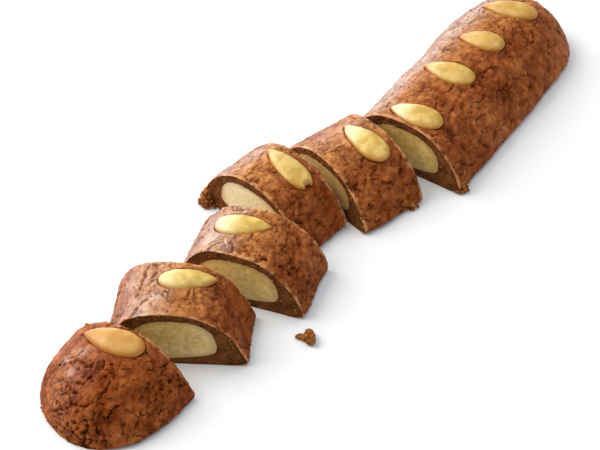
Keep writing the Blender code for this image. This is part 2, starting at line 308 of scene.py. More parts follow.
def new_node(tree, kind, inputs=None, **settings):
    """A node with its settings and its inputs, which are named or numbered."""
    node = tree.nodes.new(kind)
    for name, value in settings.items():
        setattr(node, name, value)
    for key, value in (inputs or {}).items():
        feed(node.inputs[key], value)
    return node


def add(tree, kind, inputs=None, output=0, **settings):
    """What a new node gives at one of its outputs."""
    return Value(new_node(tree, kind, inputs, **settings).outputs[output])


def calc(operation, *values):
    """What a Math node gives."""
    tree = next(value.tree for value in values if isinstance(value, Value))
    return add(tree, "ShaderNodeMath", dict(enumerate(values)), operation=operation)


def larger(first, second):
    """The larger of two numbers."""
    return calc("MAXIMUM", first, second)


def smaller(first, second):
    """The smaller of two numbers."""
    return calc("MINIMUM", first, second)


def vector(parts):
    """A vector of parts, by their numbers. The others are 0."""
    tree = next(iter(parts.values())).tree
    return add(tree, "ShaderNodeCombineXYZ", parts)


def shifted(place, step):
    """A place moved by a vector."""
    return add(place.tree, "ShaderNodeVectorMath", {0: place, 1: step}, operation="ADD")


def scaled(place, factor):
    """A place or a vector multiplied by a number."""
    inputs = {0: place, "Scale": factor}
    return add(place.tree, "ShaderNodeVectorMath", inputs, operation="SCALE")


def stretched(place, factors):
    """A place with each of its parts multiplied by its own factor."""
    return add(place.tree, "ShaderNodeVectorMath", {0: place, 1: factors}, operation="MULTIPLY")


def noise(place, size, detail=2.0, roughness=0.5, output=0):
    """Lumps about size across, from 0 to 1."""
    inputs = {"Vector": place, "Scale": 1 / size, "Detail": detail, "Roughness": roughness}
    return add(place.tree, "ShaderNodeTexNoise", inputs, output)


def drift(place, size, amount):
    """A place moved to and fro by up to about amount, in waves about size across."""
    swing = shifted(noise(place, size, output="Color"), (-0.5, -0.5, -0.5))
    return shifted(place, scaled(swing, 2 * amount))


def cells(place, size, feature="F1", output="Distance"):
    """A pattern of cells about size across."""
    inputs = {"Vector": place, "Scale": 1 / size}
    return add(place.tree, "ShaderNodeTexVoronoi", inputs, output, feature=feature)


def step(value, low, high, bottom=0.0, top=1.0):
    """bottom up to low, top from high on, and a smooth change between them."""
    inputs = {"Value": value, "From Min": low, "From Max": high, "To Min": bottom, "To Max": top}
    return add(value.tree, "ShaderNodeMapRange", inputs, interpolation_type="SMOOTHSTEP")


def mixed(share, first, second):
    """A colour between two, by a share. 6, 7 and output 2 are the node's sockets for colours."""
    inputs = {0: share, 6: first, 7: second}
    return add(share.tree, "ShaderNodeMix", inputs, 2, data_type="RGBA")


# ---------------------------------------------------------------- reading the frame


def merged(node):
    """A CAD node's mesh with its loose triangles joined up."""
    builder = bmesh.new()
    builder.from_mesh(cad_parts[node].data)
    bmesh.ops.remove_doubles(builder, verts=builder.verts, dist=WELD)
    return builder


def surface(node):
    """A CAD node's surface, for rays."""
    builder = merged(node)
    tree = BVHTree.FromBMesh(builder)
    builder.free()
    return tree


def corners(node):
    """The corners of a CAD node's mesh."""
    return np.array([v.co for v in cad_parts[node].data.vertices])


def knife_cuts(node, count):
    """(middle, outward direction) of a filling's flat cuts, its largest upright faces."""
    builder = merged(node)
    sides = []
    for face in builder.faces:
        if abs(face.normal.z) > UPRIGHT:
            continue
        area = face.calc_area()
        moment = area * face.calc_center_median()
        for side in sides:
            if side[0].dot(face.normal) > ALIGNED:
                side[1] += area
                side[2] += moment
                break
        else:
            sides.append([face.normal.copy(), area, moment])
    builder.free()
    sides.sort(key=lambda side: -side[1])
    return [(np.array(moment / area), np.array(normal)) for normal, area, moment in sides[:count]]


def heading_of(direction):
    """The angle of a direction on the ground."""
    return math.atan2(direction[1], direction[0])


class Track:
    """The line on the ground that a piece is measured along, from a cut to its other end, with
    the planes that cross it. Shares of its length run from 0 at the cut to 1."""

    def __init__(self, name):
        self.name = name
        self.closed = name in CLOSED
        cuts = knife_cuts(f"{name}_filling", 1 if self.closed else 2)
        cuts.sort(key=lambda cut: cut[1][0])
        self.start, outward = cuts[0]
        first = heading_of(-outward)
        if self.closed:
            points = corners(f"{name}_crust")
            self.end = points[np.argmax(-(points @ outward))]
            last = heading_of(self.end - self.start)
        else:
            self.end, outward = cuts[1]
            last = heading_of(outward)
        self.start, self.end = self.start * (1, 1, 0), self.end * (1, 1, 0)
        self.length = float(np.linalg.norm(self.end - self.start))
        self.headings = (first, first + (last - first + math.pi) % (2 * math.pi) - math.pi)

    def middle(self, share):
        """The place at a share of the length."""
        return self.start + (self.end - self.start) * share

    def left(self, share):
        """Sideways at a share of the length, towards the row's +Y."""
        heading = self.headings[0] + (self.headings[1] - self.headings[0]) * share
        side = np.array((-math.sin(heading), math.cos(heading), 0.0))
        return side if side[1] > 0 else -side

    def top(self, tree, share):
        """Height of a surface over the line."""
        start = Vector(self.middle(share) + UP * REACH)
        hit = tree.ray_cast(start, Vector((0, 0, -1)))[0]
        return hit.z if hit else 0.0


def section(track, share, height, tree, angles):
    """How far a surface lies from a section's heart, in each direction round it. NaN is a miss."""
    heart, left = track.middle(share) + UP * height, track.left(share)
    found = np.full(len(angles), np.nan)
    for i, angle in enumerate(angles):
        out = left * math.cos(angle) + UP * math.sin(angle)
        distance = tree.ray_cast(Vector(heart + out * REACH), Vector(-out), REACH)[3]
        if distance is not None:
            found[i] = REACH - distance
    return found


def even_angles(track, tree, almonds):
    """Directions round a section that are evenly spaced over the dome and sparser under the base,
    and how far round the dome each lies: 0 at the left foot, 1 at the right one."""
    fine = np.linspace(-math.pi / 2, 1.5 * math.pi, FINE_TURNS)
    height = min(HEART, HEART_SHARE * track.top(tree, MEASURED_SHARE))
    radii = section(track, MEASURED_SHARE, height, tree, fine)
    clear = ~np.isnan(radii)
    for almond in almonds:
        clear &= np.isnan(section(track, MEASURED_SHARE, height, almond, fine))
    clear &= np.roll(clear, SOCKET_MARGIN) & np.roll(clear, -SOCKET_MARGIN)
    radii = np.interp(fine, fine[clear], radii[clear])
    across, rise = radii * np.cos(fine), height + radii * np.sin(fine)
    lengths = np.hypot(np.diff(across), np.diff(rise))
    on_dome = (rise[1:] + rise[:-1]) / 2 > FOOT_HEIGHT
    weighted = np.concatenate([[0], np.cumsum(lengths * np.where(on_dome, 1, BASE_SHARE))])
    domed = np.concatenate([[0], np.cumsum(lengths * on_dome)])
    places = np.linspace(0, weighted[-1], COLUMNS, endpoint=False)
    angles = np.interp(places, weighted, fine)
    spacing = weighted[-1] / COLUMNS
    return angles, np.interp(angles, fine, domed / domed[-1]), spacing


def slipped(radii):
    """Where a ray missed, or slipped through a joint between two faces and read too deep."""
    beside = np.stack([np.roll(radii, turn, 1) for turn in range(-3, 4)])
    beside[:, np.isnan(beside).all(0)] = 0
    return np.isnan(radii) | (radii < np.nanmedian(beside, 0) - SLIP)


def healed(radii, missing):
    """Radii with the missing ones drawn smoothly over from round them."""
    known = np.where(missing, np.nanmean(radii), radii)
    for _ in range(HEALING_ROUNDS):
        beyond = np.pad(known, ((1, 1), (0, 0)), mode="edge")
        near = beyond[:-2] + beyond[2:] + np.roll(known, 1, 1) + np.roll(known, -1, 1)
        known = np.where(missing, near / 4, known)
    return known


def blurred(radii, row_sigma, column_sigma):
    """Radii smoothed along the piece and round it. Past the ends their slope runs on."""
    for axis, sigma in ((0, row_sigma), (1, column_sigma)):
        half = min(int(3 * sigma) + 1, radii.shape[axis] - 1)
        weights = np.exp(-0.5 * (np.arange(-half, half + 1) / sigma) ** 2)
        weights /= weights.sum()
        padding = [(0, 0), (0, 0)]
        padding[axis] = (half, half)
        if axis:
            padded = np.pad(radii, padding, mode="wrap")
        else:
            padded = np.pad(radii, padding, mode="reflect", reflect_type="odd")
        size = radii.shape[axis]
        shifts = [np.take(padded, range(i, i + size), axis=axis) for i in range(len(weights))]
        radii = sum(weight * values for weight, values in zip(weights, shifts))
    return radii


# ---------------------------------------------------------------- almonds in their places


Seat = namedtuple("Seat", "to_world length width thickness")
TURNS = np.linspace(0, math.pi, 200)
ALMOND_WIDEST = float((np.sin(TURNS) * np.sin(TURNS / 2) ** ALMOND_TIP).max())
END_SHARE = 0.12  # of an almond's length: the ends whose widths tell which one is pointed
SEAT_REACH = (5 * MM, 8 * MM)  # past an almond's side and off its flat side, where crust is pressed
EDGE_STEPS = 60  # along one side of an almond


def eased(share):
    """A share kept between 0 and 1 that starts and ends gently."""
    share = np.clip(share, 0, 1)
    return share * share * (3 - 2 * share)


def almond_outline(x):
    """Half width of an almond half at x from -1 to 1, its pointed end, against its widest."""
    angle = np.arccos(np.clip(x, -1, 1))
    return np.sin(angle) * np.sin(angle / 2) ** ALMOND_TIP / ALMOND_WIDEST


def almond_seat(node):
    """Where an almond half lies: its own frame, with +x to its pointed end, +z out of the crust
    and the origin in the middle of its flat side, and its sizes."""
    points = corners(node)
    middle = points.mean(0)
    axes = np.linalg.svd(points - middle, full_matrices=False)[2]
    normal = axes[2] if axes[2][2] > 0 else -axes[2]
    long = axes[0]
    along = (points - middle) @ long
    wide = np.linalg.norm(np.cross(points - middle, long), axis=1)
    reach = along.max() - along.min()
    head = wide[along > along.max() - END_SHARE * reach].max()
    tail = wide[along < along.min() + END_SHARE * reach].max()
    long = long if head < tail else -long
    side = np.cross(normal, long)
    local = (points - middle) @ np.array((long, side, normal)).T
    low, high = local.min(0), local.max(0)
    centre = (low + high) / 2
    origin = middle + long * centre[0] + side * centre[1] + normal * low[2]
    to_world = np.eye(4)
    to_world[:3, 0], to_world[:3, 1], to_world[:3, 2], to_world[:3, 3] = long, side, normal, origin
    return Seat(to_world, *(high - low))


def sink_sockets(points, seats):
    """Presses the almonds' sockets into crust points and lifts a lip round each. Also gives how
    closely each point hugs an almond, from 0 to 1."""
    hug = np.zeros(len(points))
    turns = np.linspace(0, math.pi, EDGE_STEPS)
    for seat in seats:
        inverse = np.linalg.inv(seat.to_world)
        local = points @ inverse[:3, :3].T + inverse[:3, 3]
        half = np.array((seat.length, seat.width)) / 2
        near = (np.abs(local[:, :2]) < half + SEAT_REACH[0]).all(1)
        near &= np.abs(local[:, 2]) < SEAT_REACH[1]
        x, y = local[near, 0], local[near, 1]
        edge_x = np.concatenate([np.cos(turns), np.cos(turns)]) * half[0]
        edge_y = almond_outline(edge_x / half[0]) * half[1] * np.repeat((1, -1), EDGE_STEPS)
        away = np.hypot(x[:, None] - edge_x, y[:, None] - edge_y).min(1)
        within = (np.abs(x) < half[0]) & (np.abs(y) < almond_outline(x / half[0]) * half[1])
        away = np.where(within, -away, away)
        lip = LIP_HEIGHT * np.exp(-np.maximum(away - SOCKET_ROOM, 0) / LIP_WIDTH)
        out = eased((away - SOCKET_ROOM) / SOCKET_SLOPE + 0.5)
        local[near, 2] = (local[near, 2] + lip) * out - SOCKET_DROP * (1 - out)
        hug[near] = np.maximum(hug[near], np.exp(-np.maximum(away, 0) / LIP_WIDTH))
        world = local @ seat.to_world[:3, :3].T + seat.to_world[:3, 3]
        points = np.where(near[:, None], world, points)
    return points, hug


# ---------------------------------------------------------------- meshes of rings


def placed(name, data):
    """A new object in the scene."""
    obj = bpy.data.objects.new(name, data)
    bpy.context.scene.collection.objects.link(obj)
    return obj


def ring_mesh(name, rings, poles, looped, notes):
    """A closed mesh through rings of points. poles are the points that close its two ends, or
    looped joins the last ring to the first. notes are numbers kept for each ring's points."""
    count = rings.shape[1]
    points = rings.reshape(-1, 3)
    grid = np.arange(len(rings))[:, None] * count + np.arange(count)
    after = np.roll(grid, -1, 1)
    if looped:
        sides = (grid, after, np.roll(after, -1, 0), np.roll(grid, -1, 0))
    else:
        sides = (grid[:-1], after[:-1], after[1:], grid[1:])
    quads = np.stack(sides, -1).reshape(-1, 4)
    faces = [tuple(q) for q in quads.tolist()]
    for pole, row, turned in ((poles[0], 0, True), (poles[1], -1, False)):
        if pole is None:
            continue
        points = np.vstack([points, pole])
        for a, b in zip(grid[row].tolist(), after[row].tolist()):
            faces.append((b, a, len(points) - 1) if turned else (a, b, len(points) - 1))
    fan = np.array([(f[0], f[i], f[i + 1]) for f in faces for i in range(1, len(f) - 1)])
    volume = np.einsum("ij,ij->i", points[fan[:, 0]], np.cross(points[fan[:, 1]], points[fan[:, 2]]))
    if volume.sum() < 0:
        faces = [f[::-1] for f in faces]
    mesh = bpy.data.meshes.new(name)
    mesh.from_pydata(points.tolist(), [], faces)
    for label, values in notes.items():
        flat = np.zeros(len(points), np.float32)
        flat[: rings.shape[0] * count] = values.reshape(-1)
        mesh.attributes.new(label, "FLOAT", "POINT").data.foreach_set("value", flat)
    mesh.shade_smooth()
    return placed(name, mesh)


def between(first, last, count):
    """count rings from first up to but not including last."""
    return np.array([first + (last - first) * i / count for i in range(count)])


class Sections:
    """All that is read of one piece: its outer skin and the outline of its paste."""

    def __init__(self, name):
        nodes = sorted(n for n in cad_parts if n.startswith(f"{name}_almond"))
        self.track = Track(name)
        self.seats = {node: almond_seat(node) for node in nodes}
        self.crust, self.paste = surface(f"{name}_crust"), surface(f"{name}_filling")
        self.almonds = [surface(node) for node in nodes]
        self.angles, self.around, self.spacing = even_angles(self.track, self.crust, self.almonds)
        self.shares = self.row_shares()
        self.heights = np.array([self.heart(share) for share in self.shares])
        self.skin = self.points(self.shares, self.read_skin())
        self.skin[..., 2] = np.maximum(self.skin[..., 2], 0)
        self.read_paste()

    def heart(self, share):
        """Height of the line that a section is measured from."""
        edge = INSIDE_CUT / self.track.length
        share = min(max(share, edge), 1 - edge)
        return min(HEART, HEART_SHARE * self.track.top(self.crust, share))

    def row_shares(self):
        """Shares of the length at which rings lie: evenly along the outline seen from the side."""
        if not self.track.closed:
            return np.linspace(0, 1, round(self.track.length / ROW_STEP) + 1)
        fine = np.linspace(0, 1, PROFILE_STEPS)
        tops = np.array([self.track.top(self.crust, share) for share in fine])
        tops[-1] = 0
        steps = np.hypot(np.diff(tops), np.diff(fine) * self.track.length)
        run = np.concatenate([[0], np.cumsum(steps)])
        rows = round(run[-1] / ROW_STEP)
        return np.interp(np.arange(rows) * run[-1] / rows, run, fine)

    def points(self, shares, radii):
        """The points at radii from the heart, for a ring at each share."""
        rings = []
        for share, row in zip(shares, radii):
            out = np.outer(np.cos(self.angles), self.track.left(share))
            out += np.outer(np.sin(self.angles), UP)
            rings.append(self.track.middle(share) + UP * self.heart(share) + out * row[:, None])
        return np.array(rings)

    def read_skin(self):
        """Radii of the skin, drawn smoothly over the almonds and rounded over at the cuts."""
        edge = INSIDE_CUT / self.track.length
        last = 1 if self.track.closed else 1 - edge
        places = np.clip(self.shares, edge, last)
        radii, under = [], []
        for share, height in zip(places, self.heights):
            radii.append(section(self.track, share, height, self.crust, self.angles))
            hits = [section(self.track, share, height, tree, self.angles) for tree in self.almonds]
            under.append(np.any([~np.isnan(hit) for hit in hits], axis=0))
        radii, under = np.array(radii), np.array(under)
        for _ in range(SOCKET_ROWS):
            under |= np.roll(under, 1, 1) | np.roll(under, -1, 1)
            under[1:] |= under[:-1].copy()
            under[:-1] |= under[1:].copy()
        radii = healed(radii, under | slipped(radii))
        radii = blurred(radii, SMOOTHING / ROW_STEP, SMOOTHING / self.spacing)
        from_cut = self.shares * self.track.length
        softening = RIM_DROP * np.exp(-from_cut / RIM_WIDTH)
        if not self.track.closed:
            softening += RIM_DROP * np.exp(-from_cut[::-1] / RIM_WIDTH)
        return radii - softening[:, None]

    def read_paste(self):
        """Rings of the paste's outline from the cut on, and where it ends inside a closed piece."""
        edge = INSIDE_CUT / self.track.length
        if self.track.closed:
            points = corners(f"{self.track.name}_filling")
            along = (self.track.end - self.track.start) / self.track.length
            far = points[np.argmax(points @ along)]
            last = float((far - self.track.start) @ along) / self.track.length - edge
            self.paste_tip = far
        else:
            last, self.paste_tip = 1, None
        self.paste_shares = np.linspace(0, last, HIDDEN_ROWS)
        radii = []
        for share in self.paste_shares:
            place = min(max(share, edge), 1 - edge)
            radii.append(section(self.track, place, self.heart(share), self.paste, self.angles))
        radii = np.array(radii)
        radii = healed(radii, slipped(radii))
        self.paste_radii = blurred(radii, PASTE_ROW_BLUR, SMOOTHING / self.spacing)


def crust_base(read):
    """The crust as rings: over the cuts, along the skin, and back through the cavity. Numbers kept
    on its points say where they lie, and "depth" runs over a cut from 0 at the skin to 1."""
    track = read.track
    rows, columns = read.skin.shape[:2]
    skin, hug = sink_sockets(read.skin.reshape(-1, 3), read.seats.values())
    skin = skin.reshape(rows, columns, 3)
    cavity = read.points(read.paste_shares, read.paste_radii + SEAM)
    from_cut = read.shares * track.length
    if not track.closed:
        from_cut = np.minimum(from_cut, from_cut[::-1])
    on_dome = {"skin": 1.0, "hug": hug.reshape(rows, columns), "glaze": glazed(read)}
    dome = (skin, on_dome | {"edge": from_cut[:, None]})
    hidden = (cavity[:0:-1], {"depth": 1.0})
    shallower = np.linspace(1, 0, CUT_ROWS)[:, None]
    front = (between(cavity[0], skin[0], CUT_ROWS), {"cut": 1.0, "depth": shallower})
    if track.closed:
        inner_pole = read.paste_tip + (track.end - track.start) * CAVITY_TIP
        parts, poles = [hidden, front, dome], (inner_pole, track.end)
    else:
        deeper = np.linspace(1, 0, CUT_ROWS - 1)[::-1, None]
        back = (between(skin[-1], cavity[-1], CUT_ROWS)[1:], {"cut": 1.0, "depth": deeper})
        parts, poles = [front, dome, back, hidden], (None, None)
    rings = np.concatenate([part for part, _ in parts])
    notes = {}
    for label in ("skin", "cut", "depth", "hug", "edge", "glaze"):
        values = [np.broadcast_to(own.get(label, 0.0), part.shape[:2]) for part, own in parts]
        notes[label] = np.concatenate(values)
    for label, values in skin_tones(read).items():
        notes[label] = np.broadcast_to(values, rings.shape[:2])
    return ring_mesh(f"{track.name}_crust_base", rings, poles, not track.closed, notes)


def on_skin(read, along, around):
    """The skin's point some mm from the cut, and part of the way round the dome."""
    row = np.argmin(np.abs(read.shares * read.track.length / MM - along))
    domed = np.flatnonzero(read.around < 1)
    return read.skin[row, domed[np.argmin(np.abs(read.around[domed] - around))]]


def glazed(read):
    """How thick the egg wash lies on each point of the skin, from 0 to 1."""
    thickness = np.zeros(read.skin.shape[:2])
    for along, around, width, strength in GLAZE[read.track.name]:
        away = np.linalg.norm(read.skin - on_skin(read, along, around), axis=2)
        thickness = np.maximum(thickness, strength * np.exp(-((away / (0.5 * width * MM)) ** 2)))
    return thickness


def skin_tones(read):
    """How pale each column of the skin is, as painted light, how washed with egg, and how dark, as
    painted shade.
    """
    tones = TONES[read.track.name]
    fading = {}
    for kind, (low, start, width) in LOW_LEFT.items():
        amount, whole, end = getattr(tones, kind)
        fading[kind] = amount * eased((end - read.around) / (end - whole))
        fading[kind] *= low + (1 - low) * eased((read.around - start) / width)
    amount, start, whole = tones.dusk
    return fading | {"dusk": amount * eased((read.around - start) / (whole - start))}


def crack_lines(read):
    """The long cracks as lines of edges on the skin."""
    points, edges = [], []
    for line in CRACKS[read.track.name]:
        bends = np.arange(len(line))
        steps = np.linspace(0, len(line) - 1, CRACK_STEPS * (len(line) - 1) + 1)
        alongs, arounds = (np.interp(steps, bends, values) for values in zip(*line))
        for i, (along, around) in enumerate(zip(alongs, arounds)):
            if i:
                edges.append((len(points) - 1, len(points)))
            points.append(tuple(on_skin(read, along, around)))
    mesh = bpy.data.meshes.new("cracks")
    mesh.from_pydata(points, edges, [])
    return bpy.data.objects.new("cracks", mesh)


def paste_base(read):
    """The paste as rings from the middle of its cut to the other cut, or to its inner tip."""
    outline = read.points(read.paste_shares, read.paste_radii + PASTE_SWELL)
    reach = np.linspace(0, 1, PASTE_ROWS + 1)[1:, None, None]
    first_middle = outline[0].mean(0)
    rings = [first_middle + (outline[0] - first_middle) * reach, outline[1:-1]]
    marks = [np.ones(PASTE_ROWS), np.zeros(len(outline) - 2)]
    rim = [reach[:, 0, 0], np.ones(len(outline) - 2)]
    if read.track.closed:
        rings.append(outline[-1:])
        marks.append(np.zeros(1))
        rim.append(np.ones(1))
        last_pole = read.paste_tip
    else:
        last_pole = outline[-1].mean(0)
        rings.append(last_pole + (outline[-1] - last_pole) * reach[::-1])
        marks.append(np.ones(PASTE_ROWS))
        rim.append(reach[::-1, 0, 0])
    rings = np.concatenate(rings)
    flat = np.ones(rings.shape[:2])
    notes = {
        "cut": np.concatenate(marks)[:, None] * flat,
        "rim": np.concatenate(rim)[:, None] * flat,
    }
    poles = (first_middle, last_pole)
    return ring_mesh(f"{read.track.name}_paste_base", rings, poles, False, notes)


# ---------------------------------------------------------------- geometry node trees


def growing_tree(name, sizes, guide=None):
    """A geometry tree and its inputs: a mesh, named sizes, a material and maybe a guide object."""
    tree = bpy.data.node_groups.new(name, "GeometryNodeTree")
    tree.interface.new_socket("Mesh", in_out="INPUT", socket_type="NodeSocketGeometry")
    if guide:
        tree.interface.new_socket(guide, in_out="INPUT", socket_type="NodeSocketObject")
    for label, value in sizes.items():
        socket = tree.interface.new_socket(label, in_out="INPUT", socket_type="NodeSocketFloat")
        socket.default_value = value
    tree.interface.new_socket("Finish", in_out="INPUT", socket_type="NodeSocketMaterial")
    tree.interface.new_socket("Mesh", in_out="OUTPUT", socket_type="NodeSocketGeometry")
    given = new_node(tree, "NodeGroupInput").outputs
    return tree, {socket.name: Value(socket) for socket in given if socket.name}


def close_tree(sizes, geometry):
    """Ends a tree: instances made real, and the material put on."""
    real = add(geometry.tree, "GeometryNodeRealizeInstances", {0: geometry})
    inputs = {"Geometry": real, "Material": sizes["Finish"]}
    painted = add(geometry.tree, "GeometryNodeSetMaterial", inputs)
    new_node(geometry.tree, "NodeGroupOutput", {0: painted})


def note(tree, label):
    """A number kept on the mesh's points."""
    inputs = {"Name": label}
    return add(tree, "GeometryNodeInputNamedAttribute", inputs, "Attribute", data_type="FLOAT")


def keep(geometry, notes):
    """Keeps numbers on the mesh's points, by their labels."""
    kind = "GeometryNodeStoreNamedAttribute"
    for label, value in notes.items():
        inputs = {"Geometry": geometry, "Name": label, "Value": value}
        geometry = add(geometry.tree, kind, inputs, data_type="FLOAT", domain="POINT")
    return geometry


def moved(geometry, distance):
    """A mesh with its points moved along its normals."""
    push = scaled(add(geometry.tree, "GeometryNodeInputNormal"), distance)
    return add(geometry.tree, "GeometryNodeSetPosition", {"Geometry": geometry, "Offset": push})


def grown(name, tree, base, material, guide=None, **sizes):
    """Runs a tree on a mesh and keeps the result as a plain piece. The base is used up. The tree's
    sizes go by their names, with an underscore for a space."""
    modifier = base.modifiers.new("growth", "NODES")
    modifier.node_group = tree
    given = sizes | {"Finish": material, "Cracks": guide}
    for item in tree.interface.items_tree:
        label = item.name.replace(" ", "_")
        if item.in_out == "INPUT" and label in given:
            modifier[item.identifier] = given[label]
    graph = bpy.context.evaluated_depsgraph_get()
    made = base.evaluated_get(graph)
    mesh = bpy.data.meshes.new_from_object(made, preserve_all_data_layers=True, depsgraph=graph)
    mesh.name = name
    mesh.shade_smooth()
    bpy.data.objects.remove(base)
    return placed(name, mesh)


def long_cracks(guide, here, place):
    """How deep in one of the long cracks a place is, from 0 to 1. They wander and vary in width."""
    lines = add(place.tree, "GeometryNodeObjectInfo", {"Object": guide}, "Geometry")
    wandering = drift(drift(here, 3 * MM, 0.8 * MM), 1.1 * MM, 0.4 * MM)
    swing = shifted(wandering, scaled(here, -1.0))
    inputs = {"Geometry": lines, "Sample Position": shifted(place, swing)}
    kind = "GeometryNodeProximity"
    away = add(place.tree, kind, inputs, "Distance", target_element="EDGES")
    width = step(noise(here, 1.8 * MM), 0.38, 0.64, 0.10 * MM, 0.75 * MM)
    return step(away / width, 0.25, 1.25, 1.0, 0.0)


def crust_relief_tree():
    """Baked relief on a crust: lumps, grain, pits and cracks on the skin, crumb on the cuts."""
    tree, sizes = growing_tree(
        "crust_relief",
        {
            "Lump Height": 0.60 * MM,
            "Granule Height": 0.58 * MM,
            "Grain Height": 0.34 * MM,
            "Crack Depth": 1.4 * MM,
            "Pit Depth": 0.75 * MM,
            "Crumb Height": 0.65 * MM,
            "Pocked": 1.0,
            "Seed": 0.0,
        },
        "Cracks",
    )
    place = add(tree, "GeometryNodeInputPosition")
    here = shifted(place, vector({0: sizes["Seed"], 1: sizes["Seed"]}))
    height = add(tree, "ShaderNodeSeparateXYZ", {0: place}, 2)
    skin, cut = note(tree, "skin"), note(tree, "cut")

    lumps = noise(here, 8 * MM, 3.0) - 0.5
    patches = noise(here, 13 * MM)
    smooth = larger(note(tree, "glaze"), step(patches, 0.48, 0.36, 0.0, 0.5))
    granular = step(smooth, 0.0, 1.0, 1.0, 0.25)
    big = 0.45 - cells(drift(here, 3 * MM, 0.5 * MM), 2.9 * MM)
    small = 0.45 - cells(drift(here, 1.5 * MM, 0.2 * MM), 1.4 * MM)
    granules = big + small * 0.6
    grain = noise(here, 1.2 * MM, 2.0, 0.6) - 0.5

    web = cells(drift(drift(here, 4 * MM, 1.6 * MM), 1.3 * MM, 0.35 * MM), 8 * MM, "DISTANCE_TO_EDGE")
    open_web = step(noise(shifted(here, (0.7, 0.2, 0.4)), 7 * MM), 0.52, 0.60)
    short_cracks = step(web, 0.006, 0.036, 1.0, 0.0) * open_web * 0.75
    crack = larger(long_cracks(sizes["Cracks"], here, place), short_cracks)

    scattered = drift(here, 1.5 * MM, 0.25 * MM)
    pocks = noise(shifted(scattered, (0.3, 0.5, 0.1)), 2.3 * MM, 1.0)
    dots = noise(shifted(scattered, (0.1, 0.8, 0.6)), 1.5 * MM, 1.0)
    fewer = (sizes["Pocked"] - 1.0) * 0.12
    wide_pits = step(pocks + (patches - 0.5) * 0.7 + fewer, 0.66, 0.76)
    fine_pits = step(dots + (patches - 0.5) * 0.35 + fewer, 0.60, 0.72, 0.0, 0.7)
    pit = larger(wide_pits, fine_pits) * step(smooth, 0.2, 0.9, 1.0, 0.3)

    rise = (
        lumps * 2.0 * sizes["Lump Height"]
        + granules * granular * sizes["Granule Height"]
        + grain * step(smooth, 0.2, 1.0, 1.0, 0.4) * sizes["Grain Height"]
        - crack * sizes["Crack Depth"]
        - pit * sizes["Pit Depth"]
    )
    on_skin = rise * skin * (1.0 - note(tree, "hug"))

    crumb = noise(here, 2.2 * MM, 3.0, 0.62) - 0.5
    bubbles = cells(drift(here, 1.5 * MM, 0.6 * MM), 1.9 * MM)
    hollow = step(bubbles, 0.1, 0.4, 1.0, 0.0) * step(noise(here, 5 * MM, 1.0), 0.48, 0.6)
    on_cut = (crumb * 1.6 - hollow * 0.8) * cut * sizes["Crumb Height"]

    shaped = moved(sizes["Mesh"], (on_skin + on_cut) * step(height, 0.2 * MM, 2.0 * MM))
    # raised and granule are kept for the painted light and shade on the relief.
    notes = {
        "crack": crack * skin,
        "pit": pit * skin,
        "hollow": hollow * cut,
        "raised": lumps + grain * 0.6,
        "granule": granules * granular,
    }
    close_tree(sizes, keep(shaped, notes))
    return tree


def paste_relief_tree():
    """The cut paste: slightly uneven, grainy, and pulled back a little from the crust."""
    tree, sizes = growing_tree(
        "paste_relief",
        {
            "Wave": 0.30 * MM,
            "Grain": 0.17 * MM,
            "Edge Drop": 0.25 * MM,
            # Tint: painted shade on the paste above 0, painted light below it.
            "Tint": 0.0,
            "Seed": 0.0,
        },
    )
    place = add(tree, "GeometryNodeInputPosition")
    here = shifted(place, vector({0: sizes["Seed"], 2: sizes["Seed"]}))
    rim = note(tree, "rim")
    inner = step(rim, 0.97, 1.0, 1.0, 0.0)
    wave = noise(here, 7 * MM) - 0.5
    grain = noise(here, 1.5 * MM, 3.0, 0.65) - 0.5
    rise = (
        wave * 2.0 * sizes["Wave"] * inner
        + grain * 2.0 * sizes["Grain"] * inner
        - step(rim, 0.9, 1.0) * sizes["Edge Drop"]
    )
    shaped = moved(sizes["Mesh"], rise * note(tree, "cut"))
    close_tree(sizes, keep(shaped, {"tint": sizes["Tint"]}))
    return tree


def almond_tree():
    """Half a blanched almond from a ball of radius 1: +x its pointed end, flat below."""
    tree, sizes = growing_tree(
        "almond_half",
        {
            "Length": 23 * MM,
            "Width": 12 * MM,
            "Thickness": 4.3 * MM,
            "Belly": 0.25,
            "Bend": 0.03,
            "Wrinkle": 0.12 * MM,
            "Toast": 0.1,
            # Fair End: painted light on the +x end above 0, on the other end below it.
            "Fair End": 1.0,
            "Bite": 0.0,
            "Seed": 0.0,
        },
    )
    ball = add(tree, "GeometryNodeInputPosition")
    x, y, z = (add(tree, "ShaderNodeSeparateXYZ", {0: ball}, axis) for axis in range(3))
    narrow = larger((1.0 - x) * 0.5, 0.0) ** (ALMOND_TIP / 2) * (1 / ALMOND_WIDEST)
    bow = (1.0 - x * x) * sizes["Bend"]
    bitten = step(x, -0.72, -0.95) * step(y, 0.34, 0.10) * step(y, -0.34, -0.10)
    long = x * sizes["Length"] * 0.5 + bitten * sizes["Bite"]
    wide = (y * narrow + bow) * sizes["Width"] * 0.5
    crown = 1.0 - sizes["Belly"]
    dome = larger(z, 0.0) ** 0.85 * narrow**0.6 * sizes["Thickness"] * crown
    belly = (smaller(larger(z * 2.0, -1.0), 0.0) + 1.0) * sizes["Belly"]
    upright = dome + belly * sizes["Thickness"]
    notes = {"crown": z, "tip": x, "toast": sizes["Toast"], "fair": x * sizes["Fair End"]}
    noted = keep(sizes["Mesh"], notes)
    inputs = {"Geometry": noted, "Position": vector({0: long, 1: wide, 2: upright})}
    half = add(tree, "GeometryNodeSetPosition", inputs)

    here = shifted(add(tree, "GeometryNodeInputPosition"), vector({1: sizes["Seed"]}))
    veins = noise(stretched(here, (0.16, 1.0, 0.6)), 1.3 * MM) - 0.5
    soft = noise(here, 6 * MM, 1.0) - 0.5
    close_tree(sizes, moved(half, (veins + soft * 3.0) * sizes["Wrinkle"] * 1.6))
    return tree


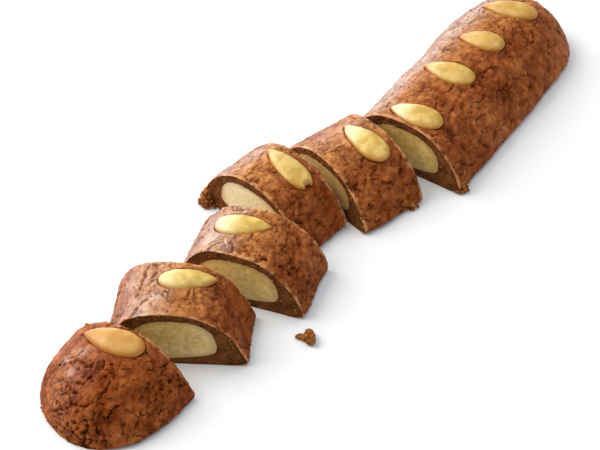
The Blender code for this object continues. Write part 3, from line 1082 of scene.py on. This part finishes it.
def crumb_scatter_tree():
    """Crumbs clinging to a crust where it is crumbly, each of its own shape."""
    tree, sizes = growing_tree(
        "crumb_scatter",
        {"Density": 330000.0, "Smallest": 0.10 * MM, "Largest": 0.50 * MM, "Seed": 0.0},
    )
    density = note(tree, "crumbly") * sizes["Density"]
    inputs = {"Mesh": sizes["Mesh"], "Density": density, "Seed": sizes["Seed"]}
    spread = add(tree, "GeometryNodeDistributePointsOnFaces", inputs, "Points")
    ball = add(tree, "GeometryNodeMeshUVSphere", {"Segments": 8, "Rings": 6, "Radius": 1.0})
    kind = "FunctionNodeRandomValue"  # its vectors' sockets are 0 and 1, its floats' 2 and 3
    limits = {2: sizes["Smallest"], 3: sizes["Largest"]}
    radius = add(tree, kind, limits, 1, data_type="FLOAT")
    turn = add(tree, kind, {1: (6.28, 6.28, 6.28)}, data_type="FLOAT_VECTOR")
    inputs = {"Points": spread, "Instance": ball, "Rotation": turn, "Scale": radius}
    laid = add(tree, "GeometryNodeInstanceOnPoints", inputs)
    real = add(tree, "GeometryNodeRealizeInstances", {0: laid})
    place = add(tree, "GeometryNodeInputPosition")
    bite = noise(place, 0.6 * MM, 2.0, 0.6) - 0.5
    close_tree(sizes, moved(real, bite * (0.7 * MM)))
    return tree


def crumb_lump_tree():
    """One larger crumb from a ball of radius 1, broken and uneven."""
    tree, sizes = growing_tree("crumb_lump", {"Size": 6.5 * MM, "Seed": 0.0})
    ball = add(tree, "GeometryNodeInputPosition")
    here = shifted(ball, vector({0: sizes["Seed"], 1: sizes["Seed"]}))
    rough = noise(here, 0.5, 4.0, 0.65) - 0.5
    grow = 1.05 + cells(here, 1.1) * -0.35 + rough * 0.7
    place = stretched(scaled(ball, grow * sizes["Size"] * 0.5), (1.35, 0.8, 0.75))
    inputs = {"Geometry": sizes["Mesh"], "Position": place}
    close_tree(sizes, add(tree, "GeometryNodeSetPosition", inputs))
    return tree


# ---------------------------------------------------------------- materials


def new_material(name):
    """A material and its shader, and where on the piece a pattern is read."""
    material = bpy.data.materials.new(name)
    material.use_nodes = True
    place = add(material.node_tree, "ShaderNodeTexCoord", {}, "Object")
    return material, material.node_tree.nodes["Principled BSDF"], place


def kept(place, label):
    """A number kept on the mesh, for the material that reads the place."""
    return add(place.tree, "ShaderNodeAttribute", {}, "Fac", attribute_name=label)


def finished(shader, looks):
    """Sets the shader's own sockets, or links patterns to them."""
    for label, value in looks.items():
        feed(shader.inputs[label], value)


def bumped(shader, height, depth, strength=1.0):
    """Fine relief that only the light shows."""
    inputs = {"Height": height, "Distance": depth, "Strength": strength}
    feed(shader.inputs["Normal"], add(height.tree, "ShaderNodeBump", inputs))


def speckled(place, size, wander):
    """Cells about size across, each of one random shade from 0 to 1."""
    bits = cells(drift(place, wander, 0.4 * MM), size, output="Color")
    return add(place.tree, "ShaderNodeSeparateColor", {0: bits})


def rgb(red, green, blue):
    """A colour socket's value, opaque."""
    return (red, green, blue, 1.0)


def baked(colour, shade):
    """A brown made lighter or darker by a factor, for painted light and shade. Darker is also redder.
    """
    return stretched(colour, vector({0: shade, 1: shade**1.35, 2: shade**1.6}))


def crumb_of_crust(place, middling, fine):
    """The crust's inside, as its cuts show it: dark, with paler grains, and painted shade in its
    hollows.
    """
    dark, light, grain = rgb(0.085, 0.026, 0.007), rgb(0.19, 0.062, 0.016), rgb(0.30, 0.115, 0.034)
    shade_in_hollow, baked_edge = rgb(0.035, 0.012, 0.004), rgb(0.07, 0.022, 0.007)
    colour = mixed(step(middling, 0.35, 0.65), dark, light)
    colour = mixed(step(fine, 0.52, 0.66) * 0.5, colour, grain)
    # Painted shade in the crumb's hollows.
    colour = mixed(kept(place, "hollow") * 0.8, colour, shade_in_hollow)
    return mixed(step(kept(place, "depth"), 0.0, 0.2, 0.7, 0.0), colour, baked_edge)


def crust_material():
    """Baked spiced dough, glossy with egg. Painted light and shade follow the relief; painted light
    lies on the left, painted shade on the right and in recesses, and a painted highlight along the
    rims.
    """
    material, shader, place = new_material("baked_spice_crust")
    deep, brown = rgb(0.235, 0.052, 0.010), rgb(0.345, 0.095, 0.024)
    orange, lit_tan = rgb(0.430, 0.145, 0.040), rgb(0.470, 0.185, 0.054)
    right_shade, egg_wash = rgb(0.230, 0.040, 0.004), rgb(0.240, 0.095, 0.034)
    spice, shade_by_almond = rgb(0.110, 0.020, 0.002), rgb(0.19, 0.046, 0.008)
    shade_in_crack, shade_in_pit = rgb(0.034, 0.006, 0.0008), rgb(0.045, 0.008, 0.001)
    rim_highlight = rgb(0.62, 0.29, 0.120)

    skin, crack, pit, glaze = (kept(place, label) for label in ("skin", "crack", "pit", "glaze"))
    broad = noise(place, 16 * MM)
    middling = noise(place, 4.0 * MM, 4.0, 0.6)
    fine = noise(place, 0.9 * MM, 3.0, 0.6)
    bit = speckled(place, 1.3 * MM, 1.2 * MM)
    waver = noise(place, 9 * MM, 3.0) - 0.5
    torn = noise(place, 3.5 * MM, 3.0) - 0.5

    gloss = step(noise(place, 8 * MM, 3.0), 0.38, 0.62)
    brushed = kept(place, "wash") * (0.6 + gloss * 0.4)
    washed = larger(brushed, glaze * step(glaze + torn, 0.05, 0.45))
    # Painted light: paler on the left, where the lamps are.
    pale = smaller(kept(place, "pale") * (1.0 + waver * 0.8 + torn * 0.8), 1.0)

    tone = broad * 0.6 + middling * 0.4
    colour = mixed(step(tone, 0.38, 0.58), deep, brown)
    colour = mixed(step(tone, 0.54, 0.74, 0.0, 0.8), colour, orange)
    # Painted shade: darker on the right, away from the lamps.
    colour = mixed(kept(place, "dusk") * 0.7, colour, right_shade)
    colour = mixed(pale, colour, lit_tan)
    colour = mixed(washed * 0.65, colour, egg_wash)
    # Painted light and shade on the relief: lighter on raised lumps and granules, darker low between
    # them, with random tone from torn and fine.
    raised = 1.0 + kept(place, "raised") * 1.3 + kept(place, "granule") * 0.65
    colour = baked(colour, larger(raised + torn * 1.1 + (fine - 0.5) * 0.6, 0.35))
    colour = mixed(step(bit, 0.88, 0.92) * 0.40, colour, spice)
    # Painted shade in the depths of cracks and pits.
    colour = mixed(step(crack, 0.15, 0.7), colour, shade_in_crack)
    colour = mixed(step(pit, 0.1, 0.8, 0.0, 0.9), colour, shade_in_pit)
    # Painted shade round each almond, where the crust meets it.
    colour = mixed(step(kept(place, "hug"), 0.35, 1.0) * 0.7, colour, shade_by_almond)
    # A painted highlight along the skin's rounded rim at each cut.
    away = kept(place, "edge") / step(middling, 0.30, 0.65, 0.6 * MM, 2.6 * MM)
    patchy = step(noise(place, 5 * MM), 0.40, 0.55, 0.15, 1.0)
    colour = mixed(step(away, 0.3, 1.0, 0.8, 0.0) * skin * patchy, colour, rim_highlight)
    colour = mixed(skin, crumb_of_crust(place, middling, fine), colour)

    dull = crack * 0.4 + pit * 0.3 + fine * 0.2
    looks = {
        "Base Color": colour,
        "Roughness": (0.56 + gloss * -0.1 + dull) * skin + (1.0 - skin) * 0.9,
        "Specular IOR Level": 0.12,
        "Specular Tint": rgb(1.0, 0.62, 0.40),
        "Coat Weight": skin * washed * (1.0 - larger(crack, pit)),
        "Coat Roughness": 0.38,
        "Coat IOR": 2.4,
    }
    finished(shader, looks)
    bumped(shader, fine * 0.7 + bit * 0.35 + middling * 0.4, 0.20 * MM, 0.9)
    return material


def crumb_material():
    """Loose and clinging crumbs of crust."""
    material, shader, place = new_material("spice_crumb")
    dark, light = rgb(0.11, 0.026, 0.004), rgb(0.44, 0.16, 0.038)
    grit = noise(place, 1.1 * MM, 3.0, 0.6)
    looks = {
        "Base Color": mixed(step(grit, 0.35, 0.65), dark, light),
        "Roughness": 0.75 + grit * 0.2,
        "Specular IOR Level": 0.1,
    }
    finished(shader, looks)
    bumped(shader, noise(place, 0.5 * MM), 0.12 * MM)
    return material


def paste_material():
    """Moist almond paste: grainy and clotted, with painted shade where it meets the crust, and painted
    light and shade that some pieces are given.
    """
    material, shader, place = new_material("almond_paste")
    yellow, cream, clot = rgb(0.70, 0.44, 0.090), rgb(0.84, 0.595, 0.190), rgb(0.50, 0.30, 0.055)
    ground_almond, grit = rgb(0.95, 0.79, 0.44), rgb(0.42, 0.23, 0.045)
    paler, painted_shade, shade_at_crust = rgb(0.93, 0.80, 0.50), rgb(0.42, 0.19, 0.060), rgb(0.46, 0.23, 0.055)
    cloud = noise(place, 6 * MM, 3.0)
    grain = noise(place, 0.9 * MM, 3.0, 0.65)
    clots = noise(drift(place, 2 * MM, 0.6 * MM), 2.2 * MM, 3.0, 0.6)
    bit = speckled(place, 1.5 * MM, 1.4 * MM)
    tint = kept(place, "tint")
    colour = mixed(step(cloud, 0.3, 0.7), yellow, cream)
    colour = mixed(step(clots, 0.54, 0.36) * 0.6, colour, clot)
    colour = mixed(step(bit, 0.7, 0.95) * 0.3, colour, ground_almond)
    colour = mixed(step(grain, 0.45, 0.3) * 0.5, colour, grit)
    # Painted light on a paste below 0, and painted shade above it.
    colour = mixed(step(tint, 0.0, -1.0, 0.0, 0.5), colour, paler)
    colour = mixed(step(tint, 0.0, 1.0, 0.0, 0.6), colour, painted_shade)
    # Painted shade where the paste meets the crust.
    rim = step(kept(place, "rim") + cloud * 0.2, 0.86, 1.10)
    looks = {
        "Base Color": mixed(rim * 0.7, colour, shade_at_crust),
        "Roughness": 0.38 + grain * 0.25,
        "Specular IOR Level": 0.3,
        "Coat Weight": 0.7,
        "Coat Roughness": 0.35,
        "Coat IOR": 1.9,
        "Subsurface Weight": 0.15,
        "Subsurface Radius": (1.0, 0.6, 0.3),
        "Subsurface Scale": 1.5 * MM,
    }
    finished(shader, looks)
    bumped(shader, grain + clots + bit * 0.3, 0.20 * MM, 0.9)
    return material


def almond_material():
    """A blanched almond, darker low on its sides, as toasting and painted shade, toasted at its tip,
    with painted light on the end towards the lamps, and finely veined.
    """
    material, shader, place = new_material("toasted_almond")
    shaded, cream, lit_cream = rgb(0.55, 0.330, 0.045), rgb(0.75, 0.530, 0.140), rgb(0.91, 0.80, 0.42)
    toasted, vein = rgb(0.50, 0.175, 0.014), rgb(0.64, 0.34, 0.060)
    fair = kept(place, "fair")
    cloud = noise(place, 5 * MM)
    veins = noise(place, 1.2 * MM)
    streaks = noise(place, 2.4 * MM, 3.0, 0.6)
    colour = mixed(step(cloud + (streaks - 0.5) * 0.5, 0.33, 0.68), shaded, cream)
    # Painted light on the end that points to the row's left, towards the lamps.
    colour = mixed(step(fair, -0.1, 0.9), colour, lit_cream)
    # Darker low on the sides, towards the crust: partly toasting, partly painted shade.
    low = step(kept(place, "crown") + cloud * 0.4, 0.92, 0.15)
    toast = low + step(kept(place, "tip"), 0.6, 1.0) * 0.4
    browned = toast * step(cloud, 0.3, 0.6, 0.45, 1.0) + kept(place, "toast")
    colour = mixed(smaller(browned, 1.0), colour, toasted)
    looks = {
        "Base Color": mixed(step(veins, 0.52, 0.7) * 0.25, colour, vein),
        "Roughness": 0.34 + veins * 0.18,
        "Specular IOR Level": 0.5,
        "Coat Weight": step(fair, -0.1, 0.8, 0.1, 0.4),
        "Coat Roughness": 0.28,
        "Subsurface Weight": 0.12,
        "Subsurface Radius": (1.0, 0.55, 0.2),
        "Subsurface Scale": 2 * MM,
    }
    finished(shader, looks)
    bumped(shader, veins, 0.06 * MM, 0.7)
    return material


def floor_material():
    """A white sweep, a touch uneven."""
    material, shader, place = new_material("white_sweep")
    colour = mixed(noise(place, 0.4, 1.0), rgb(0.86, 0.86, 0.86), rgb(0.88, 0.88, 0.88))
    finished(shader, {"Base Color": colour, "Roughness": 0.9, "Specular IOR Level": 0.2})
    return material


# ---------------------------------------------------------------- pieces


def settle(piece, slot, *nodes):
    """Makes a piece part of the bar, in place of the solids that it stands for."""
    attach(piece, "root")
    if nodes:
        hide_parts(*nodes)


def ball(name, segments, rings):
    """A ball of radius 1 with its poles on x."""
    builder = bmesh.new()
    bmesh.ops.create_uvsphere(builder, u_segments=segments, v_segments=rings, radius=1)
    bmesh.ops.rotate(builder, verts=builder.verts, matrix=Matrix.Rotation(math.pi / 2, 3, "Y"))
    mesh = bpy.data.meshes.new(name)
    builder.to_mesh(mesh)
    builder.free()
    return placed(name, mesh)


def joined(name, pieces):
    """Several pieces as one."""
    with bpy.context.temp_override(active_object=pieces[0], selected_editable_objects=pieces):
        bpy.ops.object.join()
    pieces[0].name = pieces[0].data.name = name
    return pieces[0]


def make_crust(read, tree, material, order):
    """The crust of one piece, with its relief, and notes of where crumbs cling to it."""
    lines = crack_lines(read)
    name = read.track.name
    sizes = {"Seed": order * CRUST_SEED, "Pocked": POCKED[name]}
    crust = grown(f"{name}_baked_crust", tree, crust_base(read), material, lines, **sizes)
    bpy.data.objects.remove(lines)
    mark_crumbly(crust)
    settle(crust, "crust", f"{name}_crust")
    return crust


def make_paste(read, tree, material, order):
    """The paste of one piece."""
    name = read.track.name
    sizes = {"Seed": order * PASTE_SEED, "Tint": PASTE_LIGHT_AND_SHADE.get(name, 0.0)}
    paste = grown(f"{name}_paste", tree, paste_base(read), material, **sizes)
    settle(paste, "filling", f"{name}_filling")


def make_almond(node, seat, tree, material, number):
    """One almond half in its seat."""
    sizes = {
        "Length": seat.length,
        "Width": seat.width,
        "Thickness": seat.thickness,
        "Bend": BENDS[number % len(BENDS)],
        "Toast": TOASTING[number],
        # The end that points to the row's +Y, towards the lamps, gets the painted light.
        "Fair_End": float(np.sign(seat.to_world[1, 0]) * LIT_ENDS[number]),
        "Bite": BITES.get(node, 0.0),
        "Seed": float(number),
    }
    piece = grown(f"{node}_half", tree, ball("almond_ball", *ALMOND_BALL), material, **sizes)
    piece.data.transform(Matrix(seat.to_world.tolist()))
    settle(piece, "almond", node)


def mark_crumbly(crust):
    """Notes where crumbs cling: at the rims of cuts, low on them and along the feet."""
    mesh = crust.data
    count = len(mesh.vertices)
    place = np.zeros(count * 3, np.float32)
    mesh.vertices.foreach_get("co", place)
    height = place.reshape(-1, 3)[:, 2]
    values = {}
    for label in ("skin", "cut", "depth", "hug"):
        values[label] = np.zeros(count, np.float32)
        mesh.attributes[label].data.foreach_get("value", values[label])
    whole, gone = CLINGING_FOOT
    rim = values["cut"] * (values["depth"] < CLINGING_RIM)
    foot = values["skin"] * np.clip((gone - height) / (gone - whole), 0, 1)
    crumbly = rim * ON_RIM + foot * ON_FOOT + values["cut"] * ON_CUT
    crumbly *= (height > CLINGING_HEIGHT) & (values["hug"] < CLINGING_HUG)
    mesh.attributes.new("crumbly", "FLOAT", "POINT").data.foreach_set("value", crumbly)


def lump(name, tree, material, size, turn, place, seed):
    """One crumb on the ground or on the crust, turned about the upright."""
    piece = grown(name, tree, ball("crumb_ball", *CRUMB_BALL), material, Size=size, Seed=seed)
    piece.data.transform(Matrix.Translation(place) @ Matrix.Rotation(math.radians(turn), 4, "Z"))
    lowest = min(v.co.z for v in piece.data.vertices)
    if lowest < 0:
        piece.data.transform(Matrix.Translation((0, 0, -lowest)))
    return piece


def crumbly_foot(read, heap, tree, material):
    """Broken lumps of crust heaped at the foot of a cut. The larger ones lie inmost."""
    foot = Vector(on_skin(read, heap.along, heap.around))
    rng = np.random.default_rng(HEAP_SEED)
    lumps = []
    for i in range(heap.lumps):
        reach = i / heap.lumps
        turn, size = rng.uniform(0, 360), (1 - HEAP_SHRINK * reach) * heap.largest * MM
        angle = rng.uniform(0, 2 * math.pi)
        away = heap.spread * reach * MM
        x = away * math.cos(angle) + heap.shift[0] * MM
        y = away * math.sin(angle) + heap.shift[1] * MM
        rise = size * HEAP_SEAT + rng.uniform(0, 1) * (1 - reach) * heap.rise * MM
        place = Vector((foot.x + x, foot.y + y, rise))
        lumps.append(lump(f"foot_{i}", tree, material, size, turn, place, float(i)))
    return lumps


def clinging_crumbs(read, crust, scatter, lumps, material, order):
    """All the crumbs on one piece: scattered ones, a heap at its foot, and one baked on."""
    name = read.track.name
    source = placed("scatter_base", crust.data.copy())
    crumbs = [grown(f"{name}_crumbs", scatter, source, material, Seed=float(order))]
    if name in HEAPS:
        crumbs += crumbly_foot(read, HEAPS[name], lumps, material)
    if name == KNOB.piece:
        place = Vector(on_skin(read, KNOB.along, KNOB.around))
        crumbs.append(lump("knob", lumps, material, KNOB.size * MM, KNOB.turn, place, 0.0))
    return crumbs


def make_loose_crumb(tree, material):
    """The crumb that fell on the ground off the second slice: lumps stuck together."""
    low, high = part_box("slice_2_crust")
    middle = Vector((low.x + LOOSE_AT[0] * (high.x - low.x), low.y - LOOSE_AT[1], 0))
    lumps = []
    for i, (size, turn, x, y) in enumerate(LOOSE_LUMPS):
        place = middle + Vector((x * MM, y * MM, 0))
        lumps.append(lump(f"loose_{i}", tree, material, size * MM, turn, place, 3.0 + i))
    settle(joined("loose_crumb", lumps), "crust")


def make_bar():
    """Every piece of the bar from the heel on, and the crumbs."""
    relief, paste_relief, halves = crust_relief_tree(), paste_relief_tree(), almond_tree()
    scatter, lumps = crumb_scatter_tree(), crumb_lump_tree()
    crust_look, paste_look, almond_look = crust_material(), paste_material(), almond_material()
    crumb_look = crumb_material()
    number, crumbs = 0, []
    for order, name in enumerate(PIECES):
        read = Sections(name)
        crust = make_crust(read, relief, crust_look, order)
        crumbs += clinging_crumbs(read, crust, scatter, lumps, crumb_look, order)
        make_paste(read, paste_relief, paste_look, order)
        for node, seat in read.seats.items():
            make_almond(node, seat, halves, almond_look, number)
            number += 1
    settle(joined("clinging_crumbs", crumbs), "crust")
    make_loose_crumb(lumps, crumb_look)


# ---------------------------------------------------------------- stage, light and camera


AIM = Vector((-9.0 * MM, 0.4 * MM, 0.0))
LENS = 164.8  # mm
SENSOR = 36.0  # mm
VIEWPOINT = (-53.0, 42.54, 1.095)  # azimuth and elevation in degrees, and metres from the aim
FLOOR_SIZE = 12.0
DAYLIGHT = (0.89, 0.945, 1.0, 1.0)  # from all round
DAYLIGHT_STRENGTH = 0.43
# Soft boxes: azimuth and elevation in degrees, metres away, width and height, watts, and colour.
Box = namedtuple("Box", "azimuth elevation distance width height power colour")
BOXES = {
    "window": Box(-155, 46, 1.3, 1.1, 0.9, 17, (1.0, 0.965, 0.90)),
    "back_wall": Box(158, 14, 1.6, 1.8, 0.7, 17, (1.0, 0.96, 0.88)),
    "ceiling": Box(60, 75, 1.8, 1.8, 1.8, 12, (0.92, 0.96, 1.0)),
}


def looking_at_bar(name, data, azimuth, elevation, distance):
    """A camera or a light at an azimuth and an elevation, turned to the aim."""
    across, up = math.radians(azimuth), math.radians(elevation)
    flat = math.cos(up)
    out = Vector((math.sin(across) * flat, -math.cos(across) * flat, math.sin(up)))
    obj = placed(name, data)
    obj.location = AIM + distance * out
    obj.rotation_euler = (AIM - obj.location).to_track_quat("-Z", "Y").to_euler()
    return obj


def make_camera():
    """The camera, far off with a long lens."""
    camera = bpy.data.cameras.new("camera")
    camera.lens, camera.sensor_width = LENS, SENSOR
    bpy.context.scene.camera = looking_at_bar("camera", camera, *VIEWPOINT)


def make_lights():
    """Daylight from all round, and the soft boxes."""
    world = bpy.data.worlds.new("studio")
    world.use_nodes = True
    background = world.node_tree.nodes["Background"]
    background.inputs["Color"].default_value = DAYLIGHT
    background.inputs["Strength"].default_value = DAYLIGHT_STRENGTH
    bpy.context.scene.world = world
    for name, box in BOXES.items():
        light = bpy.data.lights.new(name, "AREA")
        light.shape = "RECTANGLE"
        light.size, light.size_y = box.width, box.height
        light.energy, light.color = box.power, box.colour
        looking_at_bar(name, light, box.azimuth, box.elevation, box.distance)


def make_floor():
    """The white ground, wide enough to fill the view."""
    mesh = bpy.data.meshes.new("floor")
    half = FLOOR_SIZE / 2
    square = [(-half, -half, 0), (half, -half, 0), (half, half, 0), (-half, half, 0)]
    mesh.from_pydata(square, [], [(0, 1, 2, 3)])
    mesh.materials.append(floor_material())
    placed("floor", mesh)


make_camera()
make_bar()
make_floor()
make_lights()
bpy.context.scene.view_settings.view_transform = "Standard"  # keeps the white ground white
